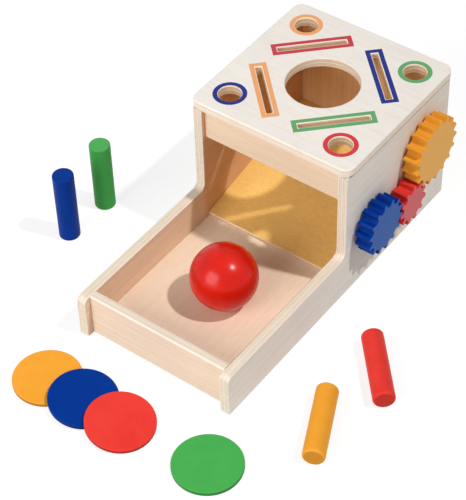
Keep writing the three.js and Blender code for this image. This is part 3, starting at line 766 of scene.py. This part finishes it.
def makeAxleSet(colour):
    look = axleLook
    joint = gearJoints[colour]
    body = f"{colour}_gear_set"
    low, high = (corner.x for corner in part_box(f"{colour}_axle"))
    screwLow, screwHigh = (corner.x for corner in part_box(f"{colour}_screw"))
    pilotEnd = screwHigh + look["pilotRoom"] * mm
    radius, pilot = look["axle"] * mm, look["pilot"] * mm
    axle = turned([(0, pilotEnd), (pilot, pilotEnd), (pilot, low),
                   (radius, low), (radius, high), (0, high)], 48)
    outer = [e for e in ringEdges(axle) if e.verts[0].co.xy.length > radius - 1e-6]
    bevelEdges(axle, outer, look["axleEdge"] * mm, 3)
    place(ontoAxle(axle, joint), f"{colour}_axle_rod", body, "beech", beech, f"{colour}_axle")

    low, high = (corner.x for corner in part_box(f"{colour}_spacer_washer"))
    spacer = washer(low, high, look["spacer"] * mm, look["spacerHole"] * mm, look["spacerEdge"] * mm)
    place(ontoAxle(spacer, joint), f"{colour}_spacer_disc", body, "beech", beech,
          f"{colour}_spacer_washer")

    low, high = (corner.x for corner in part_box(f"{colour}_keeper_washer"))
    keeper = washer(low, high, look["keeper"] * mm, pilot, look["keeperEdge"] * mm)
    place(ontoAxle(keeper, joint), f"{colour}_keeper_disc", body, "steel", steel,
          f"{colour}_keeper_washer")

    face = low - look["headGap"] * mm   # where the screw head bears on the keeper
    head, shank = look["screwHead"] * mm, look["screwShank"] * mm
    pitch, depth = look["threadPitch"] * mm, look["threadDepth"] * mm
    turns = int((screwHigh - face - look["bareTip"] * mm) / pitch)
    thread = []
    for turn in range(turns):
        start = face + (turn + 0.5) * pitch
        thread += [(shank - depth, start), (shank, start + pitch * 0.35),
                   (shank - depth, start + pitch * 0.7)]
    dome = [(head * 0.55, screwLow), (head * 0.9, screwLow + look["headRise"] * mm), (head, face)]
    screw = turned([(0, screwLow), *dome, (shank, face), *thread,
                    (look["tip"] * mm, screwHigh), (0, screwHigh)], 32)
    crown = [e for e in ringEdges(screw) if e.verts[0].co.z < face - 0.5 * mm]
    bevelEdges(screw, crown, look["crownEdge"] * mm, 3)
    long, wide = look["crossLength"] / 2 * mm, look["crossWidth"] / 2 * mm
    bars = [boxBetween((-a, -b, screwLow - 1 * mm), (a, b, screwLow + look["crossDepth"] * mm))
            for a, b in ((long, wide), (wide, long))]
    screw = cutAway(screw, bars)
    place(ontoAxle(screw, joint), f"{colour}_cross_screw", body, "steel", steel, f"{colour}_screw")


for gearColour, gearAngle in toothAngles().items():
    makeGear(gearColour, gearAngle)
    makeAxleSet(gearColour)
print("gear train made")


# Ball, turned between two centres that leave a small flat at each pole

ballLook = {"flat": 1.6, "rings": 48, "steps": 96, "turn": 62.0, "turnAxis": (0.5, 0.8, 0.2)}


def makeBall():
    low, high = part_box("ball")
    radius = (high.x - low.x) / 2
    start, rings = ballLook["flat"] * mm / radius, ballLook["rings"]
    angles = [start + (pi - 2 * start) * step / rings for step in range(rings + 1)]
    profile = [(radius * sin(a), -radius * cos(a)) for a in angles]
    bm = turned([(0, profile[0][1]), *profile, (0, profile[-1][1])], ballLook["steps"])
    roll = Matrix.Rotation(radians(ballLook["turn"]), 3, ballLook["turnAxis"])
    bmesh.ops.rotate(bm, cent=(0, 0, 0), matrix=roll, verts=bm.verts)
    bmesh.ops.translate(bm, vec=(low + high) / 2, verts=bm.verts)
    place(bm, "painted_ball", "loose_ball", "red_paint", glossRed, "ball")


makeBall()


# Coins: flat discs with rolled rims; those in the leaning row tip about y

coinLook = {"radius": 25.5, "thickness": 3.5, "edge": 0.6, "lean": {"blue": 6.27, "red": 6.27}}


def makeCoin(colour):
    low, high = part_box(f"{colour}_coin")
    radius, thick = coinLook["radius"] * mm, coinLook["thickness"] * mm
    bm = turned([(0, 0), (radius, 0), (radius, thick), (0, thick)], 112)
    bevelEdges(bm, ringEdges(bm), coinLook["edge"] * mm, 5, "wornEdgeAndHighlight")
    # painted shade on the coin's rim
    markFaces(bm, "paintedShade", 1.0, lambda normal: abs(normal.z) < 0.2)
    lean = Matrix.Rotation(radians(coinLook["lean"].get(colour, 0)), 3, "Y")
    bmesh.ops.rotate(bm, cent=(0, 0, 0), matrix=lean, verts=bm.verts)
    middle = lean @ Vector((0, 0, thick / 2))
    bmesh.ops.translate(bm, vec=(low + high) / 2 - middle, verts=bm.verts)
    place(bm, f"{colour}_coin_disc", f"loose_{colour}_coin", f"{colour}_paint", paints[colour],
          f"{colour}_coin")


for coinColour in ("yellow", "blue", "red", "green"):
    makeCoin(coinColour)


# Pegs: turned rods with softened ends, two standing and two lying

pegLook = {"radius": 8.3, "length": 62.0, "edge": 1.0, "lyingEdge": 1.95,
           "lying": {"yellow": -64.8, "red": -48.6}, "shadedEnds": 0.6,
           "shadedSides": {"blue": 0.12, "green": 0.4}, "sandedTops": {"blue": 0.03, "green": 0.15}}


def makePeg(colour):
    low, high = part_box(f"{colour}_peg")
    radius, half = pegLook["radius"] * mm, pegLook["length"] / 2 * mm
    bm = turned([(0, -half), (radius, -half), (radius, half), (0, half)], 72)
    edge = pegLook["lyingEdge" if colour in pegLook["lying"] else "edge"]
    bevelEdges(bm, ringEdges(bm), edge * mm, 5, "wornEdgeAndHighlight")
    if colour in pegLook["lying"]:
        # painted shade on the ends
        markFaces(bm, "paintedShade", pegLook["shadedEnds"], lambda normal: abs(normal.z) > 0.95)
        turn = radians(pegLook["lying"][colour])
        lay = Matrix.Rotation(turn, 3, "Z") @ Matrix.Rotation(pi / 2, 3, "Y")
        bmesh.ops.rotate(bm, cent=(0, 0, 0), matrix=lay, verts=bm.verts)
    else:
        # painted shade on the sides
        markFaces(bm, "paintedShade", pegLook["shadedSides"][colour], lambda normal: abs(normal.z) < 0.5)
        # paler top end: painted light from above
        markFaces(bm, "sandedFace", pegLook["sandedTops"][colour], lambda normal: normal.z > 0.95)
    bmesh.ops.translate(bm, vec=(low + high) / 2, verts=bm.verts)
    place(bm, f"{colour}_peg_rod", f"loose_{colour}_peg", f"{colour}_paint", paints[colour],
          f"{colour}_peg")


for pegColour in ("blue", "green", "yellow", "red"):
    makePeg(pegColour)
print("loose pieces made")


# Hidden pieces keep their own solids: the cleat under the ramp and the glue dowels

for nodeName, nodeObject in frame["nodes"].items():
    if "dowel" in nodeName or nodeName == "ramp_back_cleat":
        finish = beech if "dowel" in nodeName else woods["ramp_back_cleat"]
        nodeObject.data.materials.clear()
        nodeObject.data.materials.append(finish)


# Stage: pale floor, sun from the back right, a soft box in front, an even sky

stageLook = {"floorSize": 12.0, "floorDrop": 0.3, "floorShade": 0.7, "seenShade": 0.3, "seenGlow": 0.78,
             "skyLight": 0.2, "sun": (-0.545, -0.17, -1.0), "sunStrength": 1.65, "sunAngle": 2.6,
             "softBox": (-0.12, -0.86, 0.5), "softDistance": 1.3, "softSize": 0.9, "softPower": 12.5}


# 1 for the rays that show the background itself: seen straight, in a mirror or through glass
def seenRays(tree):
    rays = addNode(tree, "LightPath").node.outputs
    both = addNode(tree, "Math", rays["Is Camera Ray"], rays["Is Glossy Ray"], operation="MAXIMUM")
    return addNode(tree, "Math", both, rays["Is Transmission Ray"], operation="MAXIMUM")


def makeStage():
    look = stageLook
    bm = bmesh.new()
    bmesh.ops.create_grid(bm, x_segments=1, y_segments=1, size=look["floorSize"] / 2)
    bmesh.ops.translate(bm, vec=(0, 0, -look["floorDrop"] * mm), verts=bm.verts)
    mesh = bpy.data.meshes.new("floor")
    bm.to_mesh(mesh)
    bm.free()
    floor = bpy.data.objects.new("floor", mesh)
    scene.collection.objects.link(floor)
    material, tree, shader, _ = newMaterial("pale_paper_floor", Roughness=0.9, Specular_IOR_Level=0.0,
                                            Emission_Color=grey(1.0))
    seen = seenRays(tree)
    shade = addNode(tree, "MixRGB", seen, grey(look["floorShade"]), grey(look["seenShade"]))
    glow = addNode(tree, "Math", seen, look["seenGlow"], operation="MULTIPLY")
    tree.links.new(shade, shader.inputs["Base Color"])
    tree.links.new(glow, shader.inputs["Emission Strength"])
    mesh.materials.append(material)

    world = bpy.data.worlds.new("studio")
    scene.world = world
    world.use_nodes = True
    tree = world.node_tree
    sky = tree.nodes["Background"]
    sky.inputs["Color"].default_value = grey(1.0)
    strength = addNode(tree, "MapRange", seenRays(tree), 0.0, 1.0, look["skyLight"], 1.0)
    tree.links.new(strength, sky.inputs["Strength"])

    sun = bpy.data.lights.new("sun", "SUN")
    sun.energy = look["sunStrength"]
    sun.angle = radians(look["sunAngle"])
    sunObject = bpy.data.objects.new("sun", sun)
    sunObject.rotation_mode = "QUATERNION"
    sunObject.rotation_quaternion = (-Vector(look["sun"])).to_track_quat("Z", "Y")
    scene.collection.objects.link(sunObject)

    box = bpy.data.lights.new("soft_box", "AREA")
    box.energy = look["softPower"]
    box.size = look["softSize"]
    boxObject = bpy.data.objects.new("soft_box", box)
    direction = Vector(look["softBox"]).normalized()
    boxObject.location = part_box("ball")[0] + direction * look["softDistance"]
    boxObject.rotation_mode = "QUATERNION"
    boxObject.rotation_quaternion = direction.to_track_quat("Z", "Y")
    scene.collection.objects.link(boxObject)


# Camera, solved from the toy's own edges in the picture

cameraLook = {"place": (0.56148, -0.83491, 0.97018), "azimuth": 37.914, "elevation": 45.380,
              "roll": -2.012, "focalPixels": 1786.8, "longSidePixels": 500, "sensor": 36}


def makeCamera():
    look = cameraLook
    azimuth, elevation, roll = (radians(look[key]) for key in ("azimuth", "elevation", "roll"))
    back = Vector((sin(azimuth) * cos(elevation), -cos(azimuth) * cos(elevation), sin(elevation)))
    level = Vector((cos(azimuth), sin(azimuth), 0))
    upright = back.cross(level)
    right = level * cos(roll) + upright * sin(roll)
    up = upright * cos(roll) - level * sin(roll)
    data = bpy.data.cameras.new("camera")
    data.sensor_width = look["sensor"]
    data.lens = look["sensor"] * look["focalPixels"] / look["longSidePixels"]
    camera = bpy.data.objects.new("camera", data)
    turn = Matrix((right, up, back)).transposed()
    camera.matrix_world = Matrix.Translation(look["place"]) @ turn.to_4x4()
    scene.collection.objects.link(camera)
    scene.camera = camera


makeStage()
makeCamera()
scene.view_settings.view_transform = "Standard"
print("stage and camera made")

bpy.context.view_layer.update()
